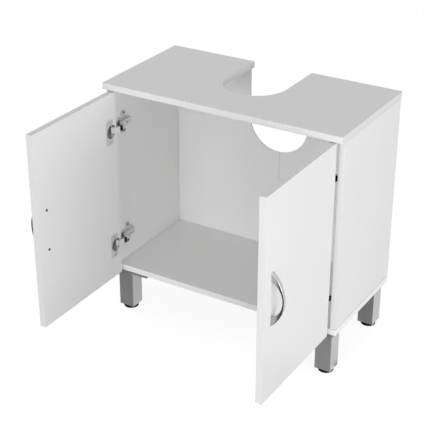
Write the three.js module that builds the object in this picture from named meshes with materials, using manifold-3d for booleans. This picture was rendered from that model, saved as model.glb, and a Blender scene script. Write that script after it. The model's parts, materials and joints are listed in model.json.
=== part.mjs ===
// Sink base cabinet: a low two-door cabinet that stands round a basin's pedestal and pipes.
// Millimetres, +X to the right seen from the front, +Y to the back, +Z up. Both doors stand
// open at a right angle. The frame's origin is on the floor, under the middle of the box
// that the whole object fills. Up to the last lines, y = 0 is the top panel's rear edge.
import * as THREE from 'three';
import { mergeVertices } from 'three/addons/utils/BufferGeometryUtils.js';
import Module from 'manifold-3d';

// Boards
const WIDTH = 600;
const BOARD = 15;
const BODY_HEIGHT = 485; // underside of the bottom panel to the top surface
const TOP_DEPTH = 303;
const FRONT_OVERHANG = 16.5; // top panel past the side panels
const REAR_OVERHANG = 3;
const TOP_NOTCH_R = 75.5; // half the width of the cut-out, and its round front
const TOP_NOTCH_REACH = 202.5; // rear edge to the cut-out's front
const BACK_T = 3;
const BACK_INSET = 7.5; // back panel's rear face ahead of the side panels' rear edges
const GROOVE_DEPTH = 6;
const GROOVE_PLAY = 0.25; // clearance on each side of the back panel in its groove
const SEAM_X = 4.4; // the back panel's two halves meet here
const SEAM_GAP = 0.6;
const BACK_NOTCH_R = 77.5;
const BACK_NOTCH_DROP = 212; // top surface to the lowest point of the back's cut-out

// Doors
const DOOR_T = 15;
const REVEAL = 1.6; // closed door's hinge edge in from the side panel's outer face
const CENTRE_GAP = 3.2; // between the closed doors
const DOOR_TOP_GAP = 2.4; // under the top panel
const DOOR_RISE = 0.4; // above the bottom panel's underside
const STANDOFF = 1.5; // closed door's inner face ahead of the side panel's front edge

// Bow handles
const HANDLE_LENGTH = 123;
const HANDLE_FOOT = 20; // flat length on the door at each end
const HANDLE_RISE = 28.5;
const HANDLE_STRIP = 3.5; // thickness at the crown
const HANDLE_WIDTH = 8.5;
const HANDLE_SCREWS = 96; // between the two screws
const HANDLE_SETBACK = 31.7; // door's free edge to the handle's centre line
const HANDLE_BORE_DEPTH = 8;
const HANDLE_SCREW_R = 1.9;
const HANDLE_HEAD_R = 4;
const HANDLE_HEAD_T = 2;
const HANDLE_SCREW_REACH = 7; // thread inside the handle

// Concealed hinges. In plan, u runs inwards from the side panel's outer face and v runs
// forwards from its front edge; h is the height above the hinge's centre.
const UPPER_HINGE_INSET = 91.6; // door's end to the hinge's centre
const LOWER_HINGE_INSET = 84.4;
const ARM_PIVOT_U = 36.15;
const ARM_PIVOT_V = 2.8;
const CUP_PIVOT_IN = 12.9; // from the door's hinge edge
const CUP_PIVOT_DEEP = 4.5; // behind the door's inner face
const LINK_SHARE = 0.6; // the link turns this share of the door's turn, the other way
const DOOR_TURN = Math.PI / 2; // closed to the drawn pose
const CUP_CENTRE = 21.5; // from the door's hinge edge
const CUP_R = 17.4;
const CUP_WALL = 0.8;
const CUP_DEPTH = 11.8;
const BORE_PLAY = 0.2; // cup in the door's bore, all round and below
const FLANGE_NEAR = 15.8; // flange's edge nearest the door's hinge edge
const FLANGE_WIDTH = 26;
const FLANGE_HEIGHT = 61;
const FLANGE_T = 1.2;
const FLANGE_CORNER = 6;
const PIVOT_R = 1.2;
const PIVOT_PLAY = 0.3;
const LINK_EYE_R = 2.5;
const LINK_T = 2.2;
const LINK_HEIGHT = 15;
const LINK_NECK = 6.6; // height of the link's eye between the arm's cheeks
const LINK_BOW = [[3.6, 4.2], [15, 4.9]]; // along the link and out from it
const NOSE_R = 2.4;
const NOSE_T = 1.6;
const ARM_HEIGHT = 14;
const ARM_T = 1.5;
const ARM_RISE = 10; // arm's web over the side panel's inner face
const ARM_TAIL = 56; // behind the side panel's front edge
const ARM_BEND = 22; // where the web starts to rise to the pivot
const ARM_FRONT = 1.2; // web's front end behind the front edge
const PLATE_T = 2.5;
const PLATE_HEIGHT = 56;
const PLATE_WIDTH = 18;
const PLATE_LINE = 37; // screw line behind the side panel's front edge
const PLATE_SCREWS = 44; // between the two screws
const PLATE_CORNER = 6;
const SPINE_FRONT = 12; // plate's spine, behind the side panel's front edge
const SPINE_TAIL = 58;
const SPINE_HEIGHT = 28;
const SPINE_CORNER = 5;
const BRIDGE_FRONT = 26;
const BRIDGE_TAIL = 54;
const HINGE_SCREW_R = 1.7;
const HINGE_SCREW_HEAD_R = 3.4;
const HINGE_SCREW_HEAD_T = 1.8;
const SCREW_PLAY = 0.3;
const PILOT_DEPTH = 11;
const PLATE_SCREW_REACH = 10; // thread inside the side panel
const ARM_SCREW_LINE = 38;
const ARM_SCREW_REACH = 6; // thread inside the plate's bridge
const ARM_BORE_DEPTH = 7;

// Legs
const LEG_SIZE = 40;
const LEG_WALL = 1.6;
const LEG_LENGTH = 96.5;
const LEG_EDGE = 1.5;
const LEG_PLUG = 18; // solid lower end that holds the stud
const LEG_SIDE_INSET = 10;
const LEG_FRONT_INSET = 4.5;
const LEG_REAR_INSET = 8;
const LEG_PLATE_T = 6;
const LEG_PLATE_MARGIN = 4.5; // beyond the leg at the front, the rear and the outside
const LEG_PLATE_LENGTH = 89.5;
const LEG_PLATE_CORNER = 3;
const LEG_PLATE_HOLE_R = 2.4;
const LEG_PLATE_HOLE_EDGE = 8;
const FOOT_R = 18;
const FOOT_HEIGHT = 9.5;
const FOOT_EDGE = 1.5;
const STUD_R = 4;
const STUD_LENGTH = 34;
const STUD_PLAY = 0.3;

// Heights
const UNDERSIDE = FOOT_HEIGHT + LEG_LENGTH + LEG_PLATE_T;
const SHELF = UNDERSIDE + BOARD;
const SURFACE = UNDERSIDE + BODY_HEIGHT;
const CEILING = SURFACE - BOARD;

// Plan
const HALF = WIDTH / 2;
const SIDE_FRONT = FRONT_OVERHANG - TOP_DEPTH;
const SIDE_REAR = -REAR_OVERHANG;
const BACK_REAR = SIDE_REAR - BACK_INSET;
const BACK_FRONT = BACK_REAR - BACK_T;

const SIDES = [['left', -1], ['right', 1]];

const FINISHES = {
  board: { color: 0xf1f1f0, roughness: 0.45, metalness: 0 },
  backing: { color: 0xebebea, roughness: 0.55, metalness: 0 },
  handle: { color: 0xc4c6c8, roughness: 0.22, metalness: 1 },
  hinge: { color: 0xa9aaac, roughness: 0.32, metalness: 1 },
  screw: { color: 0x8f9092, roughness: 0.35, metalness: 1 },
  leg: { color: 0x9c9da0, roughness: 0.4, metalness: 0.9 },
  legPlate: { color: 0x8c8d90, roughness: 0.5, metalness: 0.8 },
  foot: { color: 0x151516, roughness: 0.6, metalness: 0 },
};

const wasm = await Module();
wasm.setup();
const group = new THREE.Group();

// A closed geometry as a solid that can be joined and cut.
function solid(geometry) {
  const bare = geometry.clone();
  bare.deleteAttribute('normal');
  bare.deleteAttribute('uv');
  const merged = mergeVertices(bare, 1e-4);
  const index = merged.index.array;
  const faces = [];
  for (let i = 0; i < index.length; i += 3) {
    const [a, b, c] = [index[i], index[i + 1], index[i + 2]];
    if (a !== b && b !== c && c !== a) faces.push(a, b, c);
  }
  return new wasm.Manifold(new wasm.Mesh({
    numProp: 3,
    vertProperties: new Float32Array(merged.attributes.position.array),
    triVerts: new Uint32Array(faces),
  }));
}

function geometryOf(body) {
  const mesh = body.getMesh();
  const geometry = new THREE.BufferGeometry();
  geometry.setAttribute('position', new THREE.BufferAttribute(mesh.vertProperties, 3));
  geometry.setIndex(new THREE.BufferAttribute(mesh.triVerts, 1));
  geometry.computeVertexNormals();
  return geometry;
}

function join(bodies) {
  return bodies.reduce((whole, body) => whole.add(body));
}

function cut(body, tools) {
  return tools.reduce((rest, tool) => rest.subtract(tool), body);
}

function put(name, finish, body) {
  const mesh = new THREE.Mesh(geometryOf(body), new THREE.MeshStandardMaterial(FINISHES[finish]));
  mesh.name = name;
  group.add(mesh);
}

// A box between two corners, given in any order.
function block(x0, x1, y0, y1, z0, z1) {
  const box = new THREE.BoxGeometry(Math.abs(x1 - x0), Math.abs(y1 - y0), Math.abs(z1 - z0));
  box.translate((x0 + x1) / 2, (y0 + y1) / 2, (z0 + z1) / 2);
  return solid(box);
}

// An outline in the plane square to an axis, drawn out along that axis from a to b.
const AXIS_FRAMES = {
  x: [new THREE.Vector3(0, 1, 0), new THREE.Vector3(0, 0, 1), new THREE.Vector3(1, 0, 0)],
  y: [new THREE.Vector3(1, 0, 0), new THREE.Vector3(0, 0, 1), new THREE.Vector3(0, -1, 0)],
  z: [new THREE.Vector3(1, 0, 0), new THREE.Vector3(0, 1, 0), new THREE.Vector3(0, 0, 1)],
};

function slab(axis, outline, a, b, curveSegments = 12) {
  const drawn = new THREE.ExtrudeGeometry(outline, {
    depth: Math.abs(b - a),
    bevelEnabled: false,
    curveSegments,
  });
  const frame = AXIS_FRAMES[axis];
  const start = frame[2].clone().multiplyScalar(axis === 'y' ? -Math.max(a, b) : Math.min(a, b));
  drawn.applyMatrix4(new THREE.Matrix4().makeBasis(...frame).setPosition(start));
  return solid(drawn);
}

function polygon(points) {
  return new THREE.Shape(points.map(([x, y]) => new THREE.Vector2(x, y)));
}

function roundedBox(x0, x1, y0, y1, r) {
  const [left, right] = [Math.min(x0, x1), Math.max(x0, x1)];
  const [low, high] = [Math.min(y0, y1), Math.max(y0, y1)];
  const outline = new THREE.Shape();
  outline.moveTo(left + r, low);
  outline.absarc(right - r, low + r, r, -Math.PI / 2, 0, false);
  outline.absarc(right - r, high - r, r, 0, Math.PI / 2, false);
  outline.absarc(left + r, high - r, r, Math.PI / 2, Math.PI, false);
  outline.absarc(left + r, low + r, r, Math.PI, 1.5 * Math.PI, false);
  return outline;
}

// A round bar from one point along an axis, by a signed length.
function rod(axis, [x, y, z], length, radius, segments = 24) {
  const bar = new THREE.CylinderGeometry(radius, radius, Math.abs(length), segments);
  bar.translate(0, length / 2, 0);
  if (axis === 'x') bar.rotateZ(-Math.PI / 2);
  if (axis === 'z') bar.rotateX(Math.PI / 2);
  bar.translate(x, y, z);
  return solid(bar);
}

// A turned piece on an axis: [radius, distance] pairs that start and end on the axis.
function turned(axis, [x, y, z], sign, profile, segments = 24) {
  const points = profile.map(([r, d]) => new THREE.Vector2(r, d));
  const piece = new THREE.LatheGeometry(points, segments);
  if (axis === 'x') piece.rotateZ(-sign * Math.PI / 2);
  if (axis === 'z') piece.rotateX(sign * Math.PI / 2);
  piece.translate(x, y, z);
  return solid(piece);
}

// A screw whose head sits at the seat and whose shank runs back along the axis.
function screw(axis, seat, sign, shankR, reach, headR, headT) {
  const profile = [
    [0, -reach],
    [shankR, -reach],
    [shankR, 0],
    [headR, 0],
    [headR, headT * 0.55],
    [headR * 0.7, headT],
    [0, headT],
  ];
  return turned(axis, seat, sign, profile, 12);
}

// ---- Carcass ----

function grooveTools() {
  const reach = HALF - BOARD + GROOVE_DEPTH;
  const [y0, y1] = [BACK_FRONT - GROOVE_PLAY, BACK_REAR + GROOVE_PLAY];
  return [block(-reach, reach, y0, y1, SHELF - GROOVE_DEPTH, CEILING + GROOVE_DEPTH)];
}

function topPanel() {
  const turn = TOP_NOTCH_R - TOP_NOTCH_REACH;
  const outline = new THREE.Shape();
  outline.moveTo(-HALF, -TOP_DEPTH);
  outline.lineTo(HALF, -TOP_DEPTH);
  outline.lineTo(HALF, 0);
  outline.lineTo(TOP_NOTCH_R, 0);
  outline.absarc(0, turn, TOP_NOTCH_R, 0, Math.PI, true);
  outline.lineTo(-TOP_NOTCH_R, 0);
  outline.lineTo(-HALF, 0);
  return cut(slab('z', outline, CEILING, SURFACE, 24), grooveTools());
}

function backHalf(sign) {
  const edge = sign * (HALF - BOARD + GROOVE_DEPTH - GROOVE_PLAY);
  const seam = SEAM_X + sign * SEAM_GAP / 2;
  const low = SHELF - GROOVE_DEPTH + GROOVE_PLAY;
  const high = CEILING + GROOVE_DEPTH - GROOVE_PLAY;
  const turn = SURFACE - BACK_NOTCH_DROP + BACK_NOTCH_R;
  const notch = new THREE.Shape();
  notch.moveTo(-BACK_NOTCH_R, SURFACE);
  notch.lineTo(-BACK_NOTCH_R, turn);
  notch.absarc(0, turn, BACK_NOTCH_R, Math.PI, 2 * Math.PI, false);
  notch.lineTo(BACK_NOTCH_R, SURFACE);
  const sheet = block(seam, edge, BACK_FRONT, BACK_REAR, low, high);
  return cut(sheet, [slab('y', notch, BACK_FRONT - BACK_T, BACK_REAR + BACK_T, 24)]);
}

function bottomPanel() {
  return cut(block(-HALF, HALF, SIDE_FRONT, SIDE_REAR, UNDERSIDE, SHELF), grooveTools());
}

// ---- Hinge layout ----

const DOOR_LOW = UNDERSIDE + DOOR_RISE;
const DOOR_HIGH = CEILING - DOOR_TOP_GAP;
const DOOR_WIDTH = HALF - REVEAL - CENTRE_GAP / 2;
const HINGES = [['upper', DOOR_HIGH - UPPER_HINGE_INSET], ['lower', DOOR_LOW + LOWER_HINGE_INSET]];

// Pivot in the cup with the door closed, then in the drawn pose.
const armPivot = new THREE.Vector2(ARM_PIVOT_U, ARM_PIVOT_V);
const cupPivotClosed = new THREE.Vector2(REVEAL + CUP_PIVOT_IN, STANDOFF + CUP_PIVOT_DEEP);
const cupPivot = cupPivotClosed.clone().rotateAround(armPivot, -LINK_SHARE * DOOR_TURN);
const linkAlong = cupPivot.clone().sub(armPivot).normalize();
const linkOut = new THREE.Vector2(linkAlong.y, -linkAlong.x);
const LINK_LENGTH = cupPivot.distanceTo(armPivot);

// The open door's inner face and hinge edge.
const INNER_U = cupPivot.x + CUP_PIVOT_DEEP;
const HINGE_V = cupPivot.y - CUP_PIVOT_IN;
const OUTER_U = INNER_U - DOOR_T;
const FREE_V = HINGE_V + DOOR_WIDTH;

const atU = (sign, u) => sign * (HALF - u);
const atV = (v) => SIDE_FRONT - v;
const planShape = (sign, points) => polygon(points.map(([u, v]) => [atU(sign, u), atV(v)]));

function sidePanel(sign) {
  const panel = block(atU(sign, 0), atU(sign, BOARD), SIDE_FRONT, SIDE_REAR, SHELF, CEILING);
  const pilots = [];
  for (const [, z] of HINGES) {
    for (const rise of [-PLATE_SCREWS / 2, PLATE_SCREWS / 2]) {
      const mouth = [atU(sign, BOARD + 1), atV(-PLATE_LINE), z + rise];
      pilots.push(rod('x', mouth, sign * (PILOT_DEPTH + 1), HINGE_SCREW_R + SCREW_PLAY, 16));
    }
  }
  return cut(panel, [...grooveTools(), ...pilots]);
}

function hingePlate(sign, z) {
  const [front, rear] = [atV(-PLATE_LINE + PLATE_WIDTH / 2), atV(-PLATE_LINE - PLATE_WIDTH / 2)];
  const wings = roundedBox(front, rear, z - PLATE_HEIGHT / 2, z + PLATE_HEIGHT / 2, PLATE_CORNER);
  const spine = roundedBox(
    atV(-SPINE_FRONT),
    atV(-SPINE_TAIL),
    z - SPINE_HEIGHT / 2,
    z + SPINE_HEIGHT / 2,
    SPINE_CORNER,
  );
  const bridgeHalf = ARM_HEIGHT / 2 - ARM_T - SCREW_PLAY;
  const bridgeTop = BOARD + ARM_RISE - ARM_T;
  const seat = atU(sign, BOARD);
  const tools = [-PLATE_SCREWS / 2, PLATE_SCREWS / 2].map((rise) => rod(
    'x',
    [seat + sign, atV(-PLATE_LINE), z + rise],
    -sign * (PLATE_T + 2),
    HINGE_SCREW_R + SCREW_PLAY,
    16,
  ));
  tools.push(rod(
    'x',
    [atU(sign, bridgeTop + 1), atV(-ARM_SCREW_LINE), z],
    sign * (ARM_BORE_DEPTH + 1),
    HINGE_SCREW_R + SCREW_PLAY,
    16,
  ));
  const bridge = block(
    seat,
    atU(sign, bridgeTop),
    atV(-BRIDGE_FRONT),
    atV(-BRIDGE_TAIL),
    z - bridgeHalf,
    z + bridgeHalf,
  );
  const sheets = [wings, spine].map((outline) => slab('x', outline, seat, atU(sign, BOARD + PLATE_T), 4));
  return cut(join([...sheets, bridge]), tools);
}

function hingeArm(sign, z) {
  const top = BOARD + ARM_RISE;
  const foot = BOARD + PLATE_T + SCREW_PLAY;
  const crest = ARM_PIVOT_U + NOSE_R;
  const half = ARM_HEIGHT / 2;
  const neck = LINK_NECK / 2 + PIVOT_PLAY;
  const rise = ARM_BEND - ARM_FRONT - ARM_T;
  const outer = [[top, -ARM_TAIL], [top, -ARM_BEND], [crest, ARM_T - ARM_BEND + rise - 2 * ARM_T]];
  const web = planShape(sign, [
    ...outer,
    [crest, -ARM_FRONT],
    [crest - ARM_T, -ARM_FRONT],
    [crest - ARM_T, outer[2][1] - ARM_T / 2],
    [top - ARM_T, -ARM_BEND - ARM_T / 2],
    [top - ARM_T, -ARM_TAIL],
  ]);
  const cheek = planShape(sign, [
    ...outer,
    [crest, -ARM_FRONT],
    [ARM_PIVOT_U - NOSE_R, -ARM_FRONT],
    [top - ARM_T, -ARM_BEND / 2],
    [foot, -ARM_BEND],
    [foot, -ARM_TAIL],
  ]);
  const slope = (crest - top) / (outer[2][1] + ARM_BEND);
  const root = -ARM_BEND * 0.6;
  const nose = planShape(sign, [
    [crest, ARM_PIVOT_V],
    [crest, outer[2][1]],
    [top + slope * (root + ARM_BEND), root],
    [top + slope * (root + ARM_BEND) - 2 * ARM_T, root],
    [ARM_PIVOT_U - NOSE_R, -ARM_FRONT],
    [ARM_PIVOT_U - NOSE_R, ARM_PIVOT_V],
  ]);
  const centre = [atU(sign, ARM_PIVOT_U), atV(ARM_PIVOT_V)];
  const bodies = [slab('z', web, z - half, z + half)];
  for (const side of [-1, 1]) {
    bodies.push(slab('z', cheek, z + side * (half - ARM_T), z + side * half));
    bodies.push(slab('z', nose, z + side * neck, z + side * (neck + NOSE_T)));
    bodies.push(rod('z', [...centre, z + side * neck], side * NOSE_T, NOSE_R, 20));
  }
  bodies.push(rod('z', [...centre, z - neck - NOSE_T], 2 * (neck + NOSE_T), PIVOT_R, 16));
  const hole = rod(
    'x',
    [atU(sign, top + 1), atV(-ARM_SCREW_LINE), z],
    sign * (ARM_T + 2),
    HINGE_SCREW_R + SCREW_PLAY,
    16,
  );
  return cut(join(bodies), [hole]);
}

// The link's centre line as a strip of even thickness, in plan.
function linkStrip(sign) {
  const line = [[0, 0], ...LINK_BOW, [LINK_LENGTH, 0]].map(([x, y]) => new THREE.Vector2(x, y));
  const edges = [[], []];
  line.forEach((point, i) => {
    const before = i > 0 ? point.clone().sub(line[i - 1]).normalize() : null;
    const after = i < line.length - 1 ? line[i + 1].clone().sub(point).normalize() : null;
    const run = (before ?? after).clone().add(after ?? before).normalize();
    const across = new THREE.Vector2(-run.y, run.x);
    const flat = new THREE.Vector2(-(before ?? after).y, (before ?? after).x);
    const offset = LINK_T / 2 / across.dot(flat);
    edges[0].push(point.clone().addScaledVector(across, offset));
    edges[1].unshift(point.clone().addScaledVector(across, -offset));
  });
  return planShape(sign, edges.flat().map(({ x, y }) => {
    const spot = armPivot.clone().addScaledVector(linkAlong, x).addScaledVector(linkOut, y);
    return [spot.x, spot.y];
  }));
}

function hingeLink(sign, z) {
  const armEnd = [atU(sign, armPivot.x), atV(armPivot.y)];
  const cupEnd = [atU(sign, cupPivot.x), atV(cupPivot.y)];
  const strip = linkStrip(sign);
  const round = (at, radius, height) => rod('z', [...at, z - height / 2], height, radius, 16);
  const wide = join([
    slab('z', strip, z - LINK_HEIGHT / 2, z + LINK_HEIGHT / 2),
    round(cupEnd, LINK_EYE_R, LINK_HEIGHT),
  ]);
  const neck = join([
    slab('z', strip, z - LINK_NECK / 2, z + LINK_NECK / 2),
    round(armEnd, LINK_EYE_R, LINK_NECK),
  ]);
  const cleared = wide.subtract(round(armEnd, NOSE_R + PIVOT_PLAY + 0.2, 2 * LINK_HEIGHT));
  return cut(cleared.add(neck), [
    round(armEnd, PIVOT_R + PIVOT_PLAY, 2 * LINK_HEIGHT),
    round(cupEnd, PIVOT_R + PIVOT_PLAY, 2 * LINK_HEIGHT),
  ]);
}

function hingeCup(sign, z) {
  const face = atU(sign, INNER_U);
  const centre = [face, atV(HINGE_V + CUP_CENTRE), z];
  const near = HINGE_V + FLANGE_NEAR;
  const flange = roundedBox(
    atV(near),
    atV(near + FLANGE_WIDTH),
    z - FLANGE_HEIGHT / 2,
    z + FLANGE_HEIGHT / 2,
    FLANGE_CORNER,
  );
  const shell = cut(
    join([
      rod('x', centre, sign * CUP_DEPTH, CUP_R, 40),
      slab('x', flange, face, atU(sign, INNER_U + FLANGE_T), 6),
    ]),
    [rod(
      'x',
      [atU(sign, INNER_U + 2 * FLANGE_T), centre[1], z],
      sign * (CUP_DEPTH - CUP_WALL + 2 * FLANGE_T),
      CUP_R - CUP_WALL,
      40,
    )],
  );
  const aside = CUP_CENTRE - CUP_PIVOT_IN;
  const reach = Math.sqrt((CUP_R - CUP_WALL / 3) ** 2 - (aside + PIVOT_R) ** 2);
  const pin = rod('z', [atU(sign, cupPivot.x), atV(cupPivot.y), z - reach], 2 * reach, PIVOT_R, 16);
  return shell.add(pin);
}

// ---- Doors ----

const HANDLE_V = FREE_V - HANDLE_SETBACK;
const DOOR_MIDDLE = (DOOR_LOW + DOOR_HIGH) / 2;
const HANDLE_HOLES = [
  ['upper', DOOR_MIDDLE + HANDLE_SCREWS / 2],
  ['lower', DOOR_MIDDLE - HANDLE_SCREWS / 2],
];

function door(sign) {
  const panel = block(
    atU(sign, OUTER_U),
    atU(sign, INNER_U),
    atV(HINGE_V),
    atV(FREE_V),
    DOOR_LOW,
    DOOR_HIGH,
  );
  const bores = HINGES.map(([, z]) => rod(
    'x',
    [atU(sign, INNER_U + 1), atV(HINGE_V + CUP_CENTRE), z],
    sign * (CUP_DEPTH + BORE_PLAY + 1),
    CUP_R + BORE_PLAY,
    40,
  ));
  const holes = HANDLE_HOLES.map(([, z]) => rod(
    'x',
    [atU(sign, INNER_U + 1), atV(HANDLE_V), z],
    sign * (DOOR_T + 2),
    HANDLE_SCREW_R + SCREW_PLAY,
    16,
  ));
  return cut(panel, [...bores, ...holes]);
}

// A bow between two arcs that cross at its pointed ends.
function handle(sign) {
  const foot = atU(sign, OUTER_U);
  const bow = (half, rise) => {
    const radius = (half * half + rise * rise) / (2 * rise);
    const sweep = Math.asin(half / radius);
    const points = [];
    for (let i = 0; i <= 16; i += 1) {
      const angle = sweep * (1 - i / 8);
      points.push([
        foot + sign * (rise - radius + radius * Math.cos(angle)),
        DOOR_MIDDLE + radius * Math.sin(angle),
      ]);
    }
    return points;
  };
  const outer = bow(HANDLE_LENGTH / 2, HANDLE_RISE);
  const inner = bow(HANDLE_LENGTH / 2 - HANDLE_FOOT, HANDLE_RISE - HANDLE_STRIP);
  const outline = polygon([...outer, ...inner.reverse()]);
  const [front, rear] = [atV(HANDLE_V + HANDLE_WIDTH / 2), atV(HANDLE_V - HANDLE_WIDTH / 2)];
  const bores = HANDLE_HOLES.map(([, z]) => rod(
    'x',
    [foot - sign, atV(HANDLE_V), z],
    sign * (HANDLE_BORE_DEPTH + 1),
    HANDLE_SCREW_R + SCREW_PLAY,
    16,
  ));
  return cut(slab('y', outline, front, rear), bores);
}

// ---- Legs ----

function legs() {
  const spans = [
    ['front', SIDE_FRONT + LEG_FRONT_INSET, 1],
    ['rear', SIDE_REAR - LEG_REAR_INSET, -1],
  ];
  for (const [side, sign] of SIDES) {
    for (const [end, edge, way] of spans) {
      const name = `${side}_${end}`;
      const outside = sign * (HALF - LEG_SIDE_INSET);
      const inside = outside - sign * LEG_SIZE;
      const far = edge + way * LEG_SIZE;
      const [x, y] = [(outside + inside) / 2, (edge + far) / 2];
      const legTop = UNDERSIDE - LEG_PLATE_T;
      const wall = sign * LEG_WALL;
      const tube = slab('z', roundedBox(outside, inside, edge, far, LEG_EDGE), FOOT_HEIGHT, legTop, 3);
      const hollow = block(
        outside - wall,
        inside + wall,
        edge + way * LEG_WALL,
        far - way * LEG_WALL,
        FOOT_HEIGHT + LEG_PLUG,
        legTop + 1,
      );
      const bore = rod('z', [x, y, 0], legTop, STUD_R + STUD_PLAY);
      put(`leg_${name}`, 'leg', cut(tube, [hollow, bore]));

      const outer = outside + sign * LEG_PLATE_MARGIN;
      const end2 = outer - sign * LEG_PLATE_LENGTH;
      const near = edge - way * LEG_PLATE_MARGIN;
      const back = far + way * LEG_PLATE_MARGIN;
      const sheet = roundedBox(outer, end2, near, back, LEG_PLATE_CORNER);
      const holes = [];
      for (const hx of [inside - sign * LEG_PLATE_HOLE_EDGE, end2 + sign * LEG_PLATE_HOLE_EDGE]) {
        for (const hy of [near + way * LEG_PLATE_HOLE_EDGE, back - way * LEG_PLATE_HOLE_EDGE]) {
          holes.push(rod('z', [hx, hy, legTop - 1], LEG_PLATE_T + 2, LEG_PLATE_HOLE_R, 12));
        }
      }
      put(`leg_plate_${name}`, 'legPlate', cut(slab('z', sheet, legTop, UNDERSIDE, 3), holes));

      put(`foot_${name}`, 'foot', turned('z', [x, y, 0], 1, [
        [0, 0],
        [FOOT_R - FOOT_EDGE, 0],
        [FOOT_R, FOOT_EDGE],
        [FOOT_R, FOOT_HEIGHT - FOOT_EDGE],
        [FOOT_R - FOOT_EDGE, FOOT_HEIGHT],
        [STUD_R, FOOT_HEIGHT],
        [STUD_R, FOOT_HEIGHT + STUD_LENGTH],
        [0, FOOT_HEIGHT + STUD_LENGTH],
      ]));
    }
  }
}

// ---- Assembly ----

put('top_panel', 'board', topPanel());
put('bottom_panel', 'board', bottomPanel());

for (const [side, sign] of SIDES) {
  put(`side_panel_${side}`, 'board', sidePanel(sign));
  put(`back_panel_${side}`, 'backing', backHalf(sign));
  put(`door_${side}`, 'board', door(sign));
  put(`handle_${side}`, 'handle', handle(sign));
  for (const [level, z] of HANDLE_HOLES) {
    put(`handle_screw_${side}_${level}`, 'screw', screw(
      'x',
      [atU(sign, INNER_U), atV(HANDLE_V), z],
      -sign,
      HANDLE_SCREW_R,
      DOOR_T + HANDLE_SCREW_REACH,
      HANDLE_HEAD_R,
      HANDLE_HEAD_T,
    ));
  }
  for (const [level, z] of HINGES) {
    const name = `${side}_${level}`;
    put(`hinge_plate_${name}`, 'hinge', hingePlate(sign, z));
    put(`hinge_arm_${name}`, 'hinge', hingeArm(sign, z));
    put(`hinge_link_${name}`, 'hinge', hingeLink(sign, z));
    put(`hinge_cup_${name}`, 'hinge', hingeCup(sign, z));
    put(`arm_screw_${name}`, 'screw', screw(
      'x',
      [atU(sign, BOARD + ARM_RISE), atV(-ARM_SCREW_LINE), z],
      -sign,
      HINGE_SCREW_R,
      ARM_T + ARM_SCREW_REACH,
      HINGE_SCREW_HEAD_R,
      HINGE_SCREW_HEAD_T,
    ));
    for (const [end, rise] of [['top', PLATE_SCREWS / 2], ['bottom', -PLATE_SCREWS / 2]]) {
      put(`plate_screw_${name}_${end}`, 'screw', screw(
        'x',
        [atU(sign, BOARD + PLATE_T), atV(-PLATE_LINE), z + rise],
        -sign,
        HINGE_SCREW_R,
        PLATE_T + PLATE_SCREW_REACH,
        HINGE_SCREW_HEAD_R,
        HINGE_SCREW_HEAD_T,
      ));
    }
  }
}
legs();

// From the top panel's rear edge to the middle of the whole depth, doors open.
group.position.y = (FREE_V - SIDE_FRONT) / 2;

export default group;
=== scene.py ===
"""Sink base cabinet with both doors open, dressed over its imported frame."""
import json
import math

import bpy
from mathutils import Matrix, Vector


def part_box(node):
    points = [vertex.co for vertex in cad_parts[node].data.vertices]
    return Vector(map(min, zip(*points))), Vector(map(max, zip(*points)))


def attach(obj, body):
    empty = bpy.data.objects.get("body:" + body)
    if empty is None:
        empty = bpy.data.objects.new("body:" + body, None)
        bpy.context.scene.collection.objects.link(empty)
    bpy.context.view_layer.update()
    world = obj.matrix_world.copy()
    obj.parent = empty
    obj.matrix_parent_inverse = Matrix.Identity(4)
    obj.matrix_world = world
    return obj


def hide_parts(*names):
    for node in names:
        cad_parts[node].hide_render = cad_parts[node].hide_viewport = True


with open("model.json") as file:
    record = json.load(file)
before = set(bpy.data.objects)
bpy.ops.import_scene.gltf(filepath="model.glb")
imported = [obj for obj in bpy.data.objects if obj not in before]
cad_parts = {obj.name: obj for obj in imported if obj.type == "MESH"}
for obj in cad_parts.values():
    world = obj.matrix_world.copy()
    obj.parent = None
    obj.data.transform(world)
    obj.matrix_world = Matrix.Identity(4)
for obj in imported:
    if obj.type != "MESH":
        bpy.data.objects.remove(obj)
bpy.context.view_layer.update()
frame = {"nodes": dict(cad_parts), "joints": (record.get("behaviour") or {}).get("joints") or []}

bl_info = {
    "name": "Sink base cabinet",
    "version": (1, 0, 0),
    "blender": (4, 5, 0),
    "location": "3D View > Sidebar > Cabinet",
    "description": "Builds the boards, doors, fittings and legs of a sink base cabinet",
    "category": "Add Mesh",
}

SIDES = {"left": -1, "right": 1}  # with the sign of x on each side
LEVELS = ("upper", "lower")
ENDS = ("front", "rear")
MM = 0.001  # Blender works in metres


# ---------------------------------------------------------------- settings


def colour_prop(name, description, default):
    return bpy.props.FloatVectorProperty(
        name=name, description=description, default=default, subtype="COLOR", min=0, max=1
    )


def length_prop(name, description, default):
    return bpy.props.FloatProperty(
        name=name, description=description, default=default, unit="LENGTH", precision=5
    )


def share_prop(name, description, default):
    return bpy.props.FloatProperty(
        name=name, description=description, default=default, subtype="FACTOR", min=0, max=1
    )


def angle_prop(name, description, degrees):
    return bpy.props.FloatProperty(
        name=name, description=description, default=math.radians(degrees), unit="ROTATION"
    )


def power_prop(name, description, default):
    return bpy.props.FloatProperty(
        name=name, description=description, default=default, unit="POWER"
    )


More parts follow.
